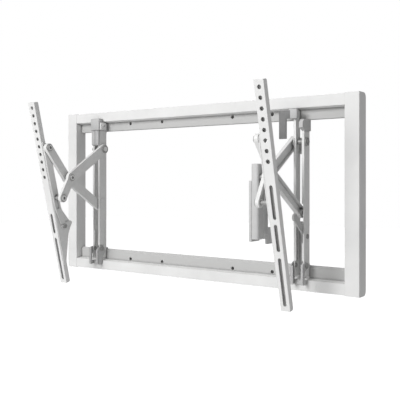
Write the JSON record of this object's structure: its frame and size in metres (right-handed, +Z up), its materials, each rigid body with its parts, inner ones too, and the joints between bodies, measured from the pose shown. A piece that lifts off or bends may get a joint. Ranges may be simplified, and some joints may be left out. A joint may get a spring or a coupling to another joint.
{
  "type": "tilting tv wall bracket",
  "caption": "Pull-out wall bracket for a television: open rectangular wall frame with sliding hangers, crossed folding arms and tilting slotted rails.",
  "frame": {"origin": "centre of the outer wall bolt rectangle, on the wall plane", "axes": "+X along the wall to the right as seen from the room, -Y out of the wall into the room, +Z up"},
  "size_m": [0.816, 0.2336, 0.4352],
  "materials": {
    "frame_coat": "light grey powder coat, satin",
    "rail_coat": "pale grey powder coat, satin",
    "arm_steel": "zinc plated steel, mid grey, dull",
    "casting": "mid grey coat, matt",
    "bolt_zinc": "zinc plated, dull",
    "housing_plastic": "grey moulded plastic, fine texture"
  },
  "bodies": {
    "wall_frame": {"top_rail": "frame_coat", "bottom_rail": "frame_coat", "left_stile": "frame_coat", "right_stile": "frame_coat", "frame_screws": "bolt_zinc", "wall_sleeves": "bolt_zinc"},
    "left_hanger": {"left_hanger_channel": "arm_steel", "left_head_casting": "casting", "left_level_bolt": "bolt_zinc", "left_hanger_cap": "casting", "left_top_pivot_bolt": "bolt_zinc", "left_top_pivot_nut": "bolt_zinc", "left_latch_rivets": "bolt_zinc"},
    "left_long_arm_set": {"left_long_arm": "arm_steel", "left_cross_pin": "bolt_zinc", "left_cross_spacer": "bolt_zinc", "left_cross_nut": "bolt_zinc", "left_low_pin": "bolt_zinc"},
    "left_short_arm_set": {"left_short_arm": "arm_steel", "left_slider_pin": "bolt_zinc"},
    "left_carrier": {"left_tilt_carrier": "arm_steel", "left_tv_pin": "bolt_zinc", "left_tv_pin_clip": "bolt_zinc", "left_tilt_bolt": "bolt_zinc", "left_tilt_nut": "bolt_zinc"},
    "left_tilt_rail": {"left_tv_rail": "rail_coat", "left_tilt_plate": "rail_coat"},
    "left_latch": {"left_foot_latch": "casting"},
    "right_hanger": {"right_hanger_channel": "arm_steel", "right_head_casting": "casting", "right_level_bolt": "bolt_zinc", "right_hanger_cap": "casting", "right_top_pivot_bolt": "bolt_zinc", "right_top_pivot_nut": "bolt_zinc", "right_latch_rivets": "bolt_zinc", "right_stay_rivet": "bolt_zinc"},
    "right_long_arm_set": {"right_long_arm": "arm_steel", "right_cross_pin": "bolt_zinc", "right_cross_spacer": "bolt_zinc", "right_cross_nut": "bolt_zinc", "right_low_pin": "bolt_zinc"},
    "right_short_arm_set": {"right_short_arm": "arm_steel", "right_slider_pin": "bolt_zinc"},
    "right_carrier": {"right_tilt_carrier": "arm_steel", "right_tv_pin": "bolt_zinc", "right_tv_pin_clip": "bolt_zinc", "right_tilt_bolt": "bolt_zinc", "right_tilt_nut": "bolt_zinc"},
    "right_tilt_rail": {"right_tv_rail": "rail_coat", "right_tilt_plate": "rail_coat"},
    "right_latch": {"right_foot_latch": "casting"},
    "right_stay": {"right_stay_lever": "casting"},
    "right_housing_set": {"right_housing": "housing_plastic", "right_housing_cover": "housing_plastic"}
  },
  "joints": [
    {"name": "left_hanger_slide", "type": "slide", "parent": "wall_frame", "child": "left_hanger", "axis": [1, 0, 0], "range_m": [-0.05, 0.12]},
    {"name": "left_scissor", "type": "hinge", "parent": "left_hanger", "child": "left_long_arm_set", "pos_m": [-0.318, -0.0295, 0.107], "axis": [1, 0, 0], "range_deg": [-3, 30]},
    {"name": "left_cross_turn", "type": "hinge", "parent": "left_long_arm_set", "child": "left_short_arm_set", "pos_m": [-0.318, -0.142, 0.034], "axis": [1, 0, 0], "range_deg": [-60, 6]},
    {"name": "left_carrier_turn", "type": "hinge", "parent": "left_short_arm_set", "child": "left_carrier", "pos_m": [-0.318, -0.1985, 0.1045], "axis": [1, 0, 0], "range_deg": [-2.19, 21.9]},
    {"name": "left_tilt", "type": "hinge", "parent": "left_carrier", "child": "left_tilt_rail", "pos_m": [-0.318, -0.1985, 0.1045], "axis": [1, 0, 0], "range_deg": [-6, 1]},
    {"name": "left_latch_swing", "type": "hinge", "parent": "left_hanger", "child": "left_latch", "pos_m": [-0.318, -0.034, -0.147], "axis": [1, 0, 0], "range_deg": [-35, 0]},
    {"name": "right_hanger_slide", "type": "slide", "parent": "wall_frame", "child": "right_hanger", "axis": [-1, 0, 0], "range_m": [-0.05, 0.12]},
    {"name": "right_scissor", "type": "hinge", "parent": "right_hanger", "child": "right_long_arm_set", "pos_m": [0.3, -0.0295, 0.107], "axis": [1, 0, 0], "range_deg": [-3, 30]},
    {"name": "right_cross_turn", "type": "hinge", "parent": "right_long_arm_set", "child": "right_short_arm_set", "pos_m": [0.3, -0.142, 0.034], "axis": [1, 0, 0], "range_deg": [-60, 6]},
    {"name": "right_carrier_turn", "type": "hinge", "parent": "right_short_arm_set", "child": "right_carrier", "pos_m": [0.3, -0.1985, 0.1045], "axis": [1, 0, 0], "range_deg": [-2.19, 21.9]},
    {"name": "right_tilt", "type": "hinge", "parent": "right_carrier", "child": "right_tilt_rail", "pos_m": [0.3, -0.1985, 0.1045], "axis": [1, 0, 0], "range_deg": [-6, 1]},
    {"name": "right_latch_swing", "type": "hinge", "parent": "right_hanger", "child": "right_latch", "pos_m": [0.3, -0.034, -0.147], "axis": [1, 0, 0], "range_deg": [-35, 0]},
    {"name": "right_stay_swing", "type": "hinge", "parent": "right_hanger", "child": "right_stay", "pos_m": [0.3, -0.0245, -0.088], "axis": [1, 0, 0], "range_deg": [-25, 0]},
    {"name": "right_housing_hang", "type": "hinge", "parent": "right_long_arm_set", "child": "right_housing_set", "pos_m": [0.3, -0.142, 0.034], "axis": [1, 0, 0], "range_deg": [-30, 3]}
  ],
  "couplings": [
    {"joint": "left_cross_turn", "follows": "left_scissor", "ratio": -2},
    {"joint": "left_carrier_turn", "follows": "left_scissor", "ratio": 0.73},
    {"joint": "right_cross_turn", "follows": "right_scissor", "ratio": -2},
    {"joint": "right_carrier_turn", "follows": "right_scissor", "ratio": 0.73},
    {"joint": "right_housing_hang", "follows": "right_scissor", "ratio": -1}
  ]
}
